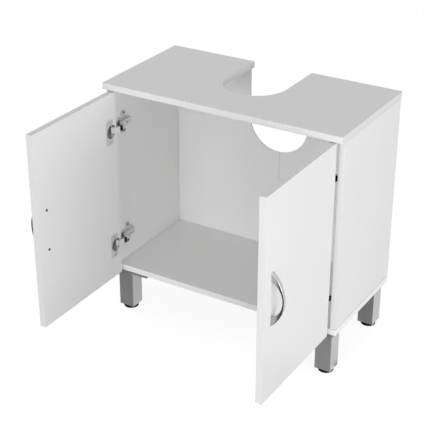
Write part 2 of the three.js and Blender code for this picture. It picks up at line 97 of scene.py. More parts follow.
class CabinetBoardSettings(bpy.types.PropertyGroup):
    face: colour_prop("Face", "Melamine face of the boards", (0.84, 0.84, 0.838))
    face_low: colour_prop("Face, low", "Darker tone in the melamine", (0.815, 0.815, 0.812))
    edging: colour_prop("Edging", "Plastic edging on the narrow faces", (0.78, 0.78, 0.778))
    # Painted light: the bottom board's edging is set brighter than the other edging.
    low_edging_painted_light: colour_prop("Low edging", "Edging of the bottom board", (0.95, 0.95, 0.948))
    glue_line: colour_prop("Glue line", "Line between face and edging", (0.7, 0.7, 0.698))
    # Painted shadow: the joint colour is near black, on the raw lower roundings of the side
    # boards.
    joint: colour_prop("Joint", "Raw lower edge of the side boards", (0.14, 0.138, 0.135))
    backing: colour_prop("Backing", "White face of the thin back sheets", (0.83, 0.83, 0.826))
    cut_edge: colour_prop("Cut edge", "Raw edges of the back sheets", (0.62, 0.6, 0.56))
    roughness: share_prop("Roughness", "Sheen of the melamine", 0.46)
    edge_round: length_prop("Edge rounding", "Rounding of the boards' edges", 0.0006)
    side_round: length_prop("Side rounding", "Rounding of the side boards' edges", 0.0012)
    back_round: length_prop("Back rounding", "Rounding of the back sheets' edges", 0.0002)


class CabinetMetalSettings(bpy.types.PropertyGroup):
    chrome: colour_prop("Handle", "Satin chrome of the bow handles", (0.56, 0.565, 0.57))
    nickel: colour_prop("Hinge", "Nickel plating of the hinges", (0.72, 0.72, 0.725))
    zinc: colour_prop("Screw", "Zinc plating of the screws", (0.3, 0.3, 0.305))
    link: colour_prop("Hinge link", "Bright plating of the hinge links", (0.88, 0.88, 0.885))
    # Painted shade: grey on the floor deep in each cup.
    deep_shade: colour_prop("Cup casing", "Grey casing deep in the cups", (0.2, 0.2, 0.203))
    # Painted shade: black round the hinge pins, in the arms' channels and in the screw slots.
    pivot: colour_prop("Hinge pivot", "Oiled black steel round the pivots", (0.02, 0.02, 0.021))
    black_screw: colour_prop("Black screw", "Blackened handle screws", (0.02, 0.02, 0.021))
    leg: colour_prop("Leg", "Silver finish of the legs", (0.54, 0.54, 0.543))
    leg_plate: colour_prop("Leg plate", "Grey finish of the leg plates", (0.28, 0.28, 0.285))
    foot: colour_prop("Foot", "Black plastic of the feet", (0.008, 0.008, 0.0085))
    pressing_round: length_prop("Pressing edges", "Rounding of pressed steel edges", 0.00025)
    leg_round: length_prop("Leg rounding", "Rounding of the legs' edges", 0.0004)
    plate_round: length_prop("Plate rounding", "Rounding of the leg plates' edges", 0.0003)
    bow_foot: length_prop("Bow foot", "Flat length of a bow on the door", 0.020)
    bow_strip: length_prop("Bow strip", "Thickness of a bow at its crown", 0.0035)


class CabinetStageSettings(bpy.types.PropertyGroup):
    camera_at: bpy.props.FloatVectorProperty(
        name="Camera",
        description="Camera place",
        default=(1.2014, -1.9943, 1.5333),
        unit="LENGTH",
    )
    azimuth: angle_prop("Azimuth", "Turn of the camera round the cabinet", 31.35)
    elevation: angle_prop("Elevation", "Camera's angle above the horizon", 27.02)
    lens: bpy.props.FloatProperty(
        name="Lens",
        description="Focal length in millimetres",
        default=99.14,
        subtype="DISTANCE_CAMERA",
    )
    ambient: bpy.props.FloatProperty(
        name="Ambient", description="Strength of the even light from all round", default=0.57
    )
    right_lamp: power_prop("Right lamp", "Power of the lamp on the right", 34.0)
    front_lamp: power_prop("Front lamp", "Power of the lamp in front", 37.0)
    corner_lamp: power_prop("Corner lamp", "Power of the low lamp at the corner", 37.0)


# ---------------------------------------------------------------- materials

MIX_LOW, MIX_HIGH, MIX_RESULT = 6, 7, 2  # the Mix node's colour sockets


class Wire:
    """A shader socket that Python's operators can do sums on."""

    def __init__(self, shade, socket):
        self.shade = shade
        self.socket = socket

    def _sum(self, operation, first, second):
        return self.shade.add("ShaderNodeMath", {"operation": operation}, {0: first, 1: second})

    def __add__(self, other):
        return self._sum("ADD", self, other)

    def __radd__(self, other):
        return self._sum("ADD", other, self)

    def __sub__(self, other):
        return self._sum("SUBTRACT", self, other)

    def __rsub__(self, other):
        return self._sum("SUBTRACT", other, self)

    def __mul__(self, other):
        return self._sum("MULTIPLY", self, other)

    def __rmul__(self, other):
        return self._sum("MULTIPLY", other, self)

    def __or__(self, other):
        return self._sum("MAXIMUM", self, other)

    def __ror__(self, other):
        return self._sum("MAXIMUM", other, self)


class Shade:
    """The node tree of a material or a world, built by type, settings and socket values."""

    def __init__(self, owner):
        self.owner = owner
        owner.use_nodes = True
        self.tree = owner.node_tree
        self.tree.nodes.clear()

    def add(self, kind, settings=None, sockets=None, output=0):
        """Adds a node and returns one of its outputs."""
        node = self.tree.nodes.new(kind)
        for name, value in (settings or {}).items():
            setattr(node, name, value)
        for name, value in (sockets or {}).items():
            if isinstance(value, Wire):
                self.tree.links.new(value.socket, node.inputs[name])
            else:
                node.inputs[name].default_value = value
        return Wire(self, node.outputs[output]) if len(node.outputs) else None

    def noise(self, scale, detail=2.0, stretch=None):
        """Noise over the piece, with a scale per metre, drawn out along an axis by stretch."""
        place = self.add("ShaderNodeTexCoord", output="Object")
        if stretch:
            place = self.add("ShaderNodeMapping", None, {"Vector": place, "Scale": stretch})
        values = {"Vector": place, "Scale": scale, "Detail": detail}
        return self.add("ShaderNodeTexNoise", None, values, "Fac")

    def blend(self, factor, low, high):
        """A colour between two, by a factor from 0 to 1."""
        ends = {"Factor": factor, MIX_LOW: (*low, 1), MIX_HIGH: (*high, 1)}
        return self.add("ShaderNodeMix", {"data_type": "RGBA"}, ends, MIX_RESULT)

    def bump(self, height, distance, strength):
        """A normal from a height of 0 to 1 that stands for a distance in metres."""
        values = {"Height": height, "Distance": distance, "Strength": strength}
        return self.add("ShaderNodeBump", None, values)

    def seen(self):
        """1 for rays from the camera, a reflection or a refraction, 0 for the rest."""
        camera, glossy, through = (
            self.add("ShaderNodeLightPath", output=f"Is {ray} Ray")
            for ray in ("Camera", "Glossy", "Transmission")
        )
        return camera | glossy | through

    def surface(self, **values):
        """Closes a material's tree with one Principled surface."""
        sockets = {}
        for name, value in values.items():
            title = name.replace("_", " ").title()
            sockets[title.replace("Ior", "IOR")] = value
        shader = self.add("ShaderNodeBsdfPrincipled", None, sockets)
        self.add("ShaderNodeOutputMaterial", None, {"Surface": shader})
        return self.owner


def shade(name):
    return Shade(bpy.data.materials.new(name))


def darker(colour, share):
    return [share * c for c in colour]


def varied(mask, swing, middle):
    """A value that a mask from 0 to 1 moves to both sides of its middle."""
    return mask * swing + (middle - swing / 2)


def melamine(name, high, low, roughness):
    """Melamine on board: a fine pearl over soft clouds of a darker tone."""
    tree = shade(name)
    cloud = tree.noise(scale=7.0, detail=3.0)
    pearl = tree.noise(scale=650.0, detail=3.0)
    mottle = cloud * 0.65 + pearl * 0.35
    relief = pearl + cloud * 0.5
    return tree.surface(
        base_color=tree.blend(mottle, low, high),
        roughness=varied(pearl, 0.1, roughness),
        normal=tree.bump(relief, distance=0.08 * MM, strength=0.35),
    )


def edging(name, colour, roughness):
    """Plastic edging, or the glue line beside it, with a fine even grain."""
    tree = shade(name)
    grain = tree.noise(scale=900.0)
    return tree.surface(
        base_color=tree.blend(grain, darker(colour, 0.97), colour),
        roughness=grain * 0.08 + roughness,
        normal=tree.bump(grain, distance=0.05 * MM, strength=0.3),
    )


def plated(name, colour, roughness, stretch, metallic=1.0):
    """Plated metal with a fine drawn grain and slightly uneven polish."""
    tree = shade(name)
    drawn = tree.noise(scale=1400.0, stretch=stretch)
    cloud = tree.noise(scale=60.0)
    tone = drawn * 0.6 + cloud * 0.4
    polish = drawn * 0.1 + cloud * 0.08
    return tree.surface(
        base_color=tree.blend(tone, darker(colour, 0.86), colour),
        metallic=metallic,
        roughness=polish + (roughness - 0.09),
        normal=tree.bump(drawn, distance=0.03 * MM, strength=0.35),
    )


def coated(name, colour, roughness, grain, metallic=0.0, specular=0.5):
    """A dull or moulded skin: paint, plastic, blackened steel or raw board."""
    tree = shade(name)
    skin = tree.noise(scale=grain, detail=3.0)
    cloud = tree.noise(scale=45.0)
    tone = skin * 0.5 + cloud * 0.5
    return tree.surface(
        base_color=tree.blend(tone, darker(colour, 0.88), colour),
        metallic=metallic,
        specular_ior_level=specular,
        roughness=varied(skin, 0.12, roughness),
        normal=tree.bump(skin, distance=0.1 * MM, strength=0.4),
    )


# ---------------------------------------------------------------- modelling

SHARP = math.radians(35)  # a board's faces that meet at more than this make an edge
SHARP_METAL = math.radians(30)  # the same for metal and plastic pieces
FLAT = math.radians(0.3)  # CAD triangles that meet at less than this are one face
MERGE = 0.01 * MM  # CAD points closer than this are one point
BORE_EDGE = 3.2 * MM  # a sharp edge shorter than this is part of a bore's rim
ALONG = 0.9  # a normal with more than this share along an axis points along it
ACROSS = 0.1  # and with less than this it points across
TILTED = 0.2  # and from this share up it leans along it, as on a rounding
UPRIGHT, LYING = (0, 0, 0), (math.pi / 2, 0, 0)  # turns of a cylinder, its axis on Z or Y


def only(obj):
    """Selects one object and makes it the active one."""
    bpy.ops.object.select_all(action="DESELECT")
    obj.select_set(True)
    bpy.context.view_layer.objects.active = obj


def modify(obj, kind, **settings):
    """Adds a modifier and applies it."""
    only(obj)
    modifier = obj.modifiers.new(kind.title(), kind)
    for name, value in settings.items():
        setattr(modifier, name, value)
    bpy.ops.object.modifier_apply(modifier=modifier.name)


def edit(obj, *steps):
    """Runs mesh operators on the whole mesh in edit mode."""
    only(obj)
    bpy.ops.object.mode_set(mode="EDIT")
    bpy.ops.mesh.select_all(action="SELECT")
    for operator, values in steps:
        operator(**values)
    bpy.ops.object.mode_set(mode="OBJECT")


def pick_faces(obj, wanted):
    """Selects the faces that a test on centre and normal picks, with edit mode left off."""
    for vertex in obj.data.vertices:
        vertex.select = False
    for edge in obj.data.edges:
        edge.select = False
    for face in obj.data.polygons:
        face.select = bool(wanted(face.center, face.normal))


def edit_faces(obj, wanted, *steps):
    """Runs mesh operators in edit mode on the faces that a test picks."""
    only(obj)
    pick_faces(obj, wanted)
    bpy.ops.object.mode_set(mode="EDIT")
    bpy.ops.mesh.select_mode(type="FACE")
    for operator, values in steps:
        operator(**values)
    bpy.ops.object.mode_set(mode="OBJECT")


def raised(distance):
    """The step that extrudes the picked faces along Z."""
    move = {"TRANSFORM_OT_translate": {"value": (0, 0, distance)}}
    return bpy.ops.mesh.extrude_region_move, move


def traced(node, name):
    """A clean copy of a CAD node's shape, ready for rounding."""
    obj = bpy.data.objects.new(name, frame["nodes"][node].data.copy())
    bpy.context.scene.collection.objects.link(obj)
    obj.data.name = name
    obj.data.materials.clear()
    edit(
        obj,
        (bpy.ops.mesh.remove_doubles, {"threshold": MERGE}),
        (bpy.ops.mesh.dissolve_limited, {"angle_limit": FLAT}),
    )
    return obj


def span(obj):
    """The lowest and highest place of a mesh along each axis."""
    return [(min(values), max(values)) for values in zip(*(v.co for v in obj.data.vertices))]


def hold(obj, box):
    """Puts corner points that a rounding throws out back on the box."""
    for vertex in obj.data.vertices:
        vertex.co = [min(max(c, low), high) for c, (low, high) in zip(vertex.co, box)]


def rounded(obj, width):
    """Rounds all sharp edges, as far as the shortest of them leaves room."""
    box = span(obj)
    modify(obj, "BEVEL", width=width, segments=2, limit_method="ANGLE", angle_limit=SHARP)
    hold(obj, box)


def outlined(obj, width, shortest):
    """Rounds the sharp edges from a length up, and leaves the rims of small bores sharp."""
    box = span(obj)
    only(obj)
    bpy.ops.object.mode_set(mode="EDIT")
    bpy.ops.mesh.select_mode(type="EDGE")
    bpy.ops.mesh.select_all(action="DESELECT")
    bpy.ops.mesh.edges_select_sharp(sharpness=SHARP)
    bpy.ops.object.mode_set(mode="OBJECT")
    points = obj.data.vertices
    for edge in obj.data.edges:
        start, end = (points[index].co for index in edge.vertices)
        if (end - start).length < shortest:
            edge.select = False
    bpy.ops.object.mode_set(mode="EDIT")
    bpy.ops.mesh.bevel(offset=width, segments=2, clamp_overlap=False)
    bpy.ops.object.mode_set(mode="OBJECT")
    hold(obj, box)


def smooth(obj, angle):
    """Smooths the roundings and keeps the large faces flat."""
    only(obj)
    bpy.ops.object.shade_smooth_by_angle(angle=angle)
    modify(obj, "WEIGHTED_NORMAL", keep_sharp=True, weight=100)


def cut_away(obj, tool):
    """Cuts one shape out of another, and removes it."""
    modify(obj, "BOOLEAN", operation="DIFFERENCE", object=tool, solver="EXACT")
    bpy.data.objects.remove(tool)


def cylinder(name, radius, depth, at, sides, turn=UPRIGHT):
    bpy.ops.object.select_all(action="DESELECT")
    bpy.ops.mesh.primitive_cylinder_add(
        vertices=sides, radius=radius, depth=depth, location=at, rotation=turn
    )
    obj = bpy.context.object
    obj.name = name
    bpy.ops.object.transform_apply(location=True, rotation=True, scale=True)
    return obj


def cuboid(name, size, at):
    bpy.ops.object.select_all(action="DESELECT")
    bpy.ops.mesh.primitive_cube_add(size=1, location=at)
    obj = bpy.context.object
    obj.name = name
    obj.scale = size
    bpy.ops.object.transform_apply(location=True, rotation=True, scale=True)
    return obj


def seat(obj, body, slot, materials, *nodes):
    """Gives a finished piece its materials, its body and the nodes it stands for. The slot is
    not used.
    """
    for material in materials:
        obj.data.materials.append(material)
    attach(obj, body)
    if nodes:
        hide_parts(*nodes)


def copied(master, name, matrix):
    """A copy of a piece with its own mesh, moved in the mesh."""
    obj = bpy.data.objects.new(name, master.data.copy())
    bpy.context.scene.collection.objects.link(obj)
    obj.data.name = name
    obj.data.transform(matrix)
    return obj


def middle(node):
    """The centre of a CAD node's box."""
    low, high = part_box(node)
    return (low + high) / 2


def inner_x(node, sign):
    """The x of a CAD node's side that faces the middle of the cabinet at rest."""
    low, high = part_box(node)
    return low.x if sign > 0 else high.x


# ---------------------------------------------------------------- boards

FACE, EDGE, ARRIS, RAW_SHADOW = range(4)  # a board's finishes, in the order of its slots; the last is raw board with a painted shadow
RAW_ROUGHNESS, RAW_GRAIN = 0.8, 1200.0  # of board and fibreboard without a skin
FACE_ON = 0.98  # a normal with more than this share across the board is of a face
EDGE_ON = 0.06  # and with less than this it is of an edge, with the rounding between
EDGING_POLISH = 0.06  # edging is that much less rough than the faces
ARRIS_DULLNESS = 0.1  # and the roundings are that much rougher
BACKING_DULLNESS = 0.08  # and so are the thin back sheets


def board_finishes(kind, use):
    """Face, edging and glue line of melamine-faced boards."""
    return [
        melamine(f"{kind}_melamine", use.face, use.face_low, use.roughness),
        edging(f"{kind}_edging", use.edging, use.roughness - EDGING_POLISH),
        edging(f"{kind}_glue_line", use.glue_line, use.roughness + ARRIS_DULLNESS),
    ]


def board(node, name, axis, body, slot, finishes, width):
    """A board with rounded edges: faces, edges and roundings take their own finish."""
    obj = traced(node, name)
    outlined(obj, width, BORE_EDGE)
    seat(obj, body, slot, finishes, node)
    for face in obj.data.polygons:
        across = abs(face.normal[axis])
        if across > FACE_ON:
            face.material_index = FACE
        else:
            face.material_index = EDGE if across < EDGE_ON else ARRIS
    smooth(obj, SHARP)
    return obj


class CABINET_OT_boards(bpy.types.Operator):
    """Top, bottom and side boards of the carcass"""

    bl_idname = "cabinet.boards"
    bl_label = "Carcass boards"

    def execute(self, context):
        use = context.scene.cabinet_boards
        top = board_finishes("carcass", use)
        # Painted light: the bottom board's edging is brighter than the rest.
        low_edging_painted_light = edging("bottom_edging", use.low_edging_painted_light, use.roughness - EDGING_POLISH)
        bottom = [top[FACE], low_edging_painted_light, top[ARRIS]]
        # The side boards also take raw board coloured near black: a painted shadow line at the
        # joint.
        sides = [*top, coated("raw_board_joint", use.joint, RAW_ROUGHNESS, RAW_GRAIN)]
        boards = {
            "top_panel": ("top_board", 2, top, use.edge_round),
            "bottom_panel": ("bottom_board", 2, bottom, use.edge_round),
            "side_panel_left": ("side_board_left", 0, sides, use.side_round),
            "side_panel_right": ("side_board_right", 0, sides, use.side_round),
        }
        for node, (name, axis, finishes, width) in boards.items():
            obj = board(node, name, axis, "carcass", "white_board", finishes, width)
            if finishes is sides:
                self.shadow_lower_edges(obj)
        return {"FINISHED"}

    @staticmethod
    def shadow_lower_edges(obj):
        """Raw board coloured near black on the lower roundings: a painted shadow along the thin
        line over the bottom board.
        """
        for face in obj.data.polygons:
            if face.normal.z < -TILTED and abs(face.normal.x) > TILTED:
                face.material_index = RAW_SHADOW


class CABINET_OT_back(bpy.types.Operator):
    """The thin back sheets with their round cut-out"""

    bl_idname = "cabinet.back"
    bl_label = "Back sheets"

    def execute(self, context):
        use = context.scene.cabinet_boards
        low = darker(use.backing, 0.97)
        finishes = [
            melamine("backing_face", use.backing, low, use.roughness + BACKING_DULLNESS),
            coated("backing_cut_edge", use.cut_edge, RAW_ROUGHNESS, RAW_GRAIN),
            edging("backing_arris", use.backing, use.roughness + ARRIS_DULLNESS),
        ]
        for side in SIDES:
            name = f"back_sheet_{side}"
            node = f"back_panel_{side}"
            board(node, name, 1, "carcass", "white_backing", finishes, use.back_round)
        return {"FINISHED"}


class CABINET_OT_doors(bpy.types.Operator):
    """The two doors, bored for their hinge cups and handle screws"""

    bl_idname = "cabinet.doors"
    bl_label = "Doors"

    def execute(self, context):
        use = context.scene.cabinet_boards
        finishes = board_finishes("door", use)
        for side in SIDES:
            body = f"door_{side}"
            name = f"door_board_{side}"
            board(body, name, 0, body, "white_board", finishes, use.edge_round)
        return {"FINISHED"}


# ---------------------------------------------------------------- fittings

PLAIN, DARK = range(2)  # a fitting's finishes, in the order of its slots; the dark one is painted shade
NICKEL_SHEEN, NICKEL_METAL = 0.36, 0.45  # roughness and metallic of the nickel plating
DARK_GRAIN = 900.0  # of the blackened handle screws and of the painted shade, per metre

ARC_SIDES = 360
CLEARING = 1.0  # size of the block that clears all behind a door's face
BOW_VOXEL = 0.55 * MM  # fine enough for the bow's strip

CUP_SHADE_DEPTH = 4 * MM  # depth of the painted shade, from the cup's deepest point
CUP_HALF_HEIGHT = 16 * MM
ARM_HALF_CHANNEL = 6 * MM
PIVOT_REACH = {"link": 4.6 * MM, "arm": 4.4 * MM}  # of the painted shade round each pin

# Radius and height of the head, radius and length of the shank and width of the slot, in mm.
SCREWS = {
    "handle": (3.0, 1.2, 1.9, 22.0, 1.2),
    "arm": (3.4, 1.8, 1.7, 7.0, 1.7),
    "plate": (3.4, 1.8, 1.7, 12.0, 1.3),
    "cup": (3.6, 1.1, 1.2, 0.1, 1.1),
    "leg": (4.2, 1.6, 1.6, 1.5, 1.4),
}
HEAD_HEIGHT = 1  # its place in those rows
HEAD_SIDES = 28
HEAD_ROUND = 0.5  # rounding, as a share of the head's height
SLOT_LENGTH = 1.2  # as a share of the head's radius
SLOT_FLOOR = 0.45  # height of the slot's floor, as a share of the head's
SLOT_REACH, SLOT_TOP = 0.62, 0.97  # shares of radius and height that hold the slot's faces, which take a painted shade
CUP_SCREW_INSET = 13 * MM  # from the front side of the cup's flange
CUP_SCREW_RISE = 24 * MM  # above and below the cup's centre
LEG_SCREW_INSET = 8 * MM  # from the edges of the leg plate, and from the leg


def arc(name, foot, sign, half, height, depth):
    """A lying cylinder whose arc rises a height off the door, over twice a half length."""
    radius = (half * half + height * height) / (2 * height)
    at = (foot.x + sign * (height - radius), foot.y, foot.z)
    return cylinder(name, radius, depth, at, ARC_SIDES, LYING)


class CABINET_OT_bows(bpy.types.Operator):
    """Bow handles: a bar between two arcs, flat where it meets the door"""

    bl_idname = "cabinet.bows"
    bl_label = "Bow handles"

    def execute(self, context):
        use = context.scene.cabinet_metal
        drawn = (1.0, 1.0, 0.12)
        chrome = plated("bow_satin_chrome", use.chrome, roughness=0.24, stretch=drawn)
        for side, sign in SIDES.items():
            node = f"handle_{side}"
            low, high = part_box(node)
            rise, width, length = high.x - low.x, high.y - low.y, high.z - low.z
            foot = middle(node)
            foot.x = inner_x(node, sign)
            bow = arc(f"bow_{side}", foot, sign, length / 2, rise, width)
            inner_half = length / 2 - use.bow_foot
            inner_rise = rise - use.bow_strip
            cut_away(bow, arc("bow_hollow", foot, sign, inner_half, inner_rise, 2 * width))
            behind = (foot.x - sign * CLEARING / 2, foot.y, foot.z)
            cut_away(bow, cuboid("bow_back", (CLEARING, CLEARING, CLEARING), behind))
            modify(bow, "REMESH", mode="VOXEL", voxel_size=BOW_VOXEL)
            modify(bow, "SMOOTH", factor=0.5, iterations=7)
            seat(bow, f"door_{side}", "handle_chrome", [chrome], node)
            only(bow)
            bpy.ops.object.shade_smooth()
        return {"FINISHED"}


class CABINET_OT_hinges(bpy.types.Operator):
    """Cup hinges: mounting plate, arm, link and cup in pressed, plated steel"""

    bl_idname = "cabinet.hinges"
    bl_label = "Cup hinges"

    def execute(self, context):
        use = context.scene.cabinet_metal
        drawn = (1.0, 1.0, 0.5)
        nickel = plated("hinge_nickel", use.nickel, NICKEL_SHEEN, drawn, NICKEL_METAL)
        bright = plated("hinge_link_nickel", use.link, 0.3, drawn, metallic=0.35)
        # Painted shade: black round the pins and in the arms' channels.
        pivot = coated("hinge_pivot_black", use.pivot, 0.6, DARK_GRAIN, specular=0.2)
        # Painted shade: grey on the floor deep in each cup.
        deep_shade = coated("cup_casing_grey", use.deep_shade, 0.5, DARK_GRAIN, specular=0.3)
        for side in SIDES:
            for level in LEVELS:
                place = f"{side}_{level}"
                for part, body, finish, dark in (
                    ("plate", "carcass", nickel, pivot),
                    ("arm", "carcass", nickel, pivot),
                    ("link", f"link_{place}", bright, pivot),
                    ("cup", f"door_{side}", nickel, deep_shade),
                ):
                    node = f"hinge_{part}_{place}"
                    obj = traced(node, f"pressed_{part}_{place}")
                    rounded(obj, use.pressing_round)
                    seat(obj, body, "hinge_steel", [finish, dark], node)
                    self.darken(obj, part, place)
                    smooth(obj, SHARP_METAL)
        return {"FINISHED"}

    @staticmethod
    def darken(obj, part, place):
        """Painted shade: black round the pin and inside the arm, and grey deep in the cup."""
        centre = middle(f"hinge_{part}_{place}")
        # The cup's deep inner floor takes the grey painted shade.
        if part == "cup":
            deepest = max(abs(vertex.co.x) for vertex in obj.data.vertices)
            for face in obj.data.polygons:
                inward = face.normal.x * face.center.x < 0
                near = abs(face.center.z - centre.z) < CUP_HALF_HEIGHT
                if inward and near and abs(face.center.x) > deepest - CUP_SHADE_DEPTH:
                    face.material_index = DARK
        # The arm's outward faces and channel walls take the black painted shade.
        if part == "arm":
            for face in obj.data.polygons:
                outward = face.normal.x * centre.x > TILTED * abs(centre.x)
                wall = abs(face.normal.z) > ALONG
                near = abs(face.center.z - centre.z) < ARM_HALF_CHANNEL
                if outward or (wall and near):
                    face.material_index = DARK
        # Faces round each pin take the black painted shade.
        if part in PIVOT_REACH:
            joint = next(j for j in frame["joints"] if j["name"] == f"hinge_swing_{place}")
            pin = Vector(joint["pos_m"][:2])
            for face in obj.data.polygons:
                if (Vector(face.center[:2]) - pin).length < PIVOT_REACH[part]:
                    face.material_index = DARK


def screw_master(radius, height, shank, reach, slot):
    """A pan head with a cross slot, its seat at z = 0 and its shank below."""
    head = cylinder("screw_master", radius, height, (0, 0, height / 2), HEAD_SIDES)
    rounding = {"offset": HEAD_ROUND * height, "segments": 4, "clamp_overlap": True}
    edit_faces(
        head,
        lambda centre, normal: normal.z > ALONG,
        (bpy.ops.mesh.bevel, rounding),
    )
    edit_faces(
        head,
        lambda centre, normal: normal.z < -ALONG,
        (bpy.ops.mesh.inset, {"thickness": radius - shank}),
        raised(-reach),
    )
    length = SLOT_LENGTH * radius
    floor = SLOT_FLOOR * height
    for size in ((length, slot, height), (slot, length, height)):
        cut_away(head, cuboid("recess", size, (0, 0, floor + height / 2)))
    # The slot's faces take the dark finish, a painted shade in the recess.
    for face in head.data.polygons:
        inside = Vector(face.center[:2]).length < SLOT_REACH * radius
        under = 0 < face.center.z < SLOT_TOP * height
        face.material_index = DARK if inside and under else PLAIN
    smooth(head, SHARP_METAL)
    return head


class CABINET_OT_screws(bpy.types.Operator):
    """Screws of the handles, hinges and leg plates"""

    bl_idname = "cabinet.screws"
    bl_label = "Screws"

    def execute(self, context):
        use = context.scene.cabinet_metal
        even = (1.0, 1.0, 1.0)
        zinc = plated("screw_zinc", use.zinc, 0.36, even, metallic=0.6)
        # Painted shade: black in the screw slots.
        recess = coated("screw_recess", use.pivot, 0.7, DARK_GRAIN, specular=0.2)
        black = coated(
            "handle_screw_black",
            use.black_screw,
            roughness=0.5,
            grain=DARK_GRAIN,
            metallic=0.3,
            specular=0.3,
        )
        nickel = plated("cup_screw_nickel", use.nickel, NICKEL_SHEEN, even, NICKEL_METAL)
        finishes = {
            "handle": [black, recess],
            "arm": [nickel, recess],
            "plate": [zinc, recess],
            # The cup screws' slots take the darker zinc as a painted shade.
            "cup": [nickel, zinc],
            "leg": [zinc, recess],
        }
        masters = {
            kind: screw_master(*(MM * size for size in sizes)) for kind, sizes in SCREWS.items()
        }

        def drive(kind, name, at, turn, body, *nodes):
            obj = copied(masters[kind], name, Matrix.Translation(at) @ turn)
            seat(obj, body, "screw_steel", finishes[kind], *nodes)

        down = Matrix.Rotation(math.pi, 4, "X")
        for side, sign in SIDES.items():
            inward = Matrix.Rotation(-sign * math.pi / 2, 4, "Y")
            door = f"door_{side}"
            for level in LEVELS:
                place = f"{side}_{level}"
                node = f"handle_screw_{place}"
                at = self.seat_of(node, sign, door)
                drive("handle", f"bow_screw_{place}", at, inward, door, node)
                for kind, node in (
                    ("arm", f"arm_screw_{place}"),
                    ("plate", f"plate_screw_{place}_top"),
                    ("plate", f"plate_screw_{place}_bottom"),
                ):
                    at = self.seat_of(node, sign, node)
                    at.x += sign * SCREWS[kind][HEAD_HEIGHT] * MM
                    drive(kind, f"driven_{node}", at, inward, "carcass", node)
                cup = f"hinge_cup_{place}"
                for end, rise in (("top", CUP_SCREW_RISE), ("bottom", -CUP_SCREW_RISE)):
                    at = self.seat_of(cup, sign, cup)
                    at.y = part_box(cup)[0].y + CUP_SCREW_INSET
                    at.z += rise
                    drive("cup", f"cup_screw_{place}_{end}", at, inward, door)
            for end in ENDS:
                for index, at in enumerate(self.plate_spots(f"{side}_{end}", sign), 1):
                    name = f"leg_screw_{side}_{end}_{index}"
                    drive("leg", name, at, down, "carcass")
        for master in masters.values():
            bpy.data.objects.remove(master)
        return {"FINISHED"}

    @staticmethod
    def seat_of(node, sign, carrier):
        """A node's centre, brought to the inner side of the piece that carries it."""
        at = middle(node)
        at.x = inner_x(carrier, sign)
        return at

    @staticmethod
    def plate_spots(place, sign):
        """The four places of a leg plate's screws, on its underside."""
        low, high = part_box(f"leg_plate_{place}")
        beside_leg = inner_x(f"leg_{place}", sign) - sign * LEG_SCREW_INSET
        far = inner_x(f"leg_plate_{place}", sign) + sign * LEG_SCREW_INSET
        rows = (low.y + LEG_SCREW_INSET, high.y - LEG_SCREW_INSET)
        return [(x, y, low.z) for x in (beside_leg, far) for y in rows]


# ---------------------------------------------------------------- legs

PLATE_EDGE = 0.9 * MM  # shortest edge of a leg plate that is rounded
FOOT_SIDES = 72
FOOT_ROUND = 1.6 * MM
NOTCHES = 24  # round the rim, each over a third of its pitch
NOTCH_MARGIN = 0.4 * MM
NOTCH_DEPTH = 0.6 * MM
STUD_RADIUS = 4 * MM
DEAD_LEVEL = 0.999  # least share of Z in the normal of the foot's flat top
TOP_BAND = 0.9  # share of the foot's height over which that top lies


class CABINET_OT_legs(bpy.types.Operator):
    """Square legs and their fixing plates"""

    bl_idname = "cabinet.legs"
    bl_label = "Legs"

    def execute(self, context):
        use = context.scene.cabinet_metal
        drawn = (1.0, 1.0, 0.2)
        silver = plated("leg_silver", use.leg, roughness=0.3, stretch=drawn, metallic=0.55)
        grey = coated(
            "leg_plate_grey",
            use.leg_plate,
            roughness=0.5,
            grain=1100.0,
            metallic=0.15,
            specular=0.3,
        )
        for side in SIDES:
            for end in ENDS:
                place = f"{side}_{end}"
                leg = traced(f"leg_{place}", f"square_leg_{place}")
                outlined(leg, use.leg_round, BORE_EDGE)
                seat(leg, "carcass", "leg_aluminium", [silver], f"leg_{place}")
                smooth(leg, SHARP_METAL)
                plate = traced(f"leg_plate_{place}", f"fixing_plate_{place}")
                outlined(plate, use.plate_round, PLATE_EDGE)
                seat(plate, "carcass", "leg_plate_grey", [grey], f"leg_plate_{place}")
                smooth(plate, SHARP_METAL)
        return {"FINISHED"}


class CABINET_OT_feet(bpy.types.Operator):
    """Adjustable round feet with a gripped rim and a threaded stud"""

    bl_idname = "cabinet.feet"
    bl_label = "Feet"

    def execute(self, context):
        use = context.scene.cabinet_metal
        plastic = coated("foot_plastic", use.foot, 0.75, grain=1300.0, specular=0.05)
        low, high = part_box("foot_left_front")
        radius, total = (high.x - low.x) / 2, high.z - low.z
        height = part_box("leg_left_front")[0].z
        foot = cylinder("foot_master", radius, height, (0, 0, height / 2), FOOT_SIDES)
        edit_faces(
            foot,
            lambda at, normal: abs(normal.z) > ALONG,
            (bpy.ops.mesh.bevel, {"offset": FOOT_ROUND, "segments": 4}),
        )
        pitch = 2 * math.pi / NOTCHES
        edit_faces(
            foot,
            lambda at, normal: abs(normal.z) < ACROSS
            and (math.atan2(at.y, at.x) % pitch) < pitch / 3,
            (bpy.ops.mesh.inset, {"thickness": NOTCH_MARGIN}),
            (bpy.ops.transform.shrink_fatten, {"value": -NOTCH_DEPTH}),
        )
        edit_faces(
            foot,
            lambda at, normal: normal.z > DEAD_LEVEL and at.z > TOP_BAND * height,
            (bpy.ops.mesh.inset, {"thickness": radius - FOOT_ROUND - STUD_RADIUS}),
            raised(total - height),
        )
        smooth(foot, SHARP_METAL)
        for side in SIDES:
            for end in ENDS:
                place = f"{side}_{end}"
                at = middle(f"foot_{place}")
                matrix = Matrix.Translation((at.x, at.y, 0))
                obj = copied(foot, f"round_foot_{place}", matrix)
                seat(obj, f"foot_{place}", "black_plastic", [plastic], f"foot_{place}")
        bpy.data.objects.remove(foot)
        return {"FINISHED"}


# ---------------------------------------------------------------- stage

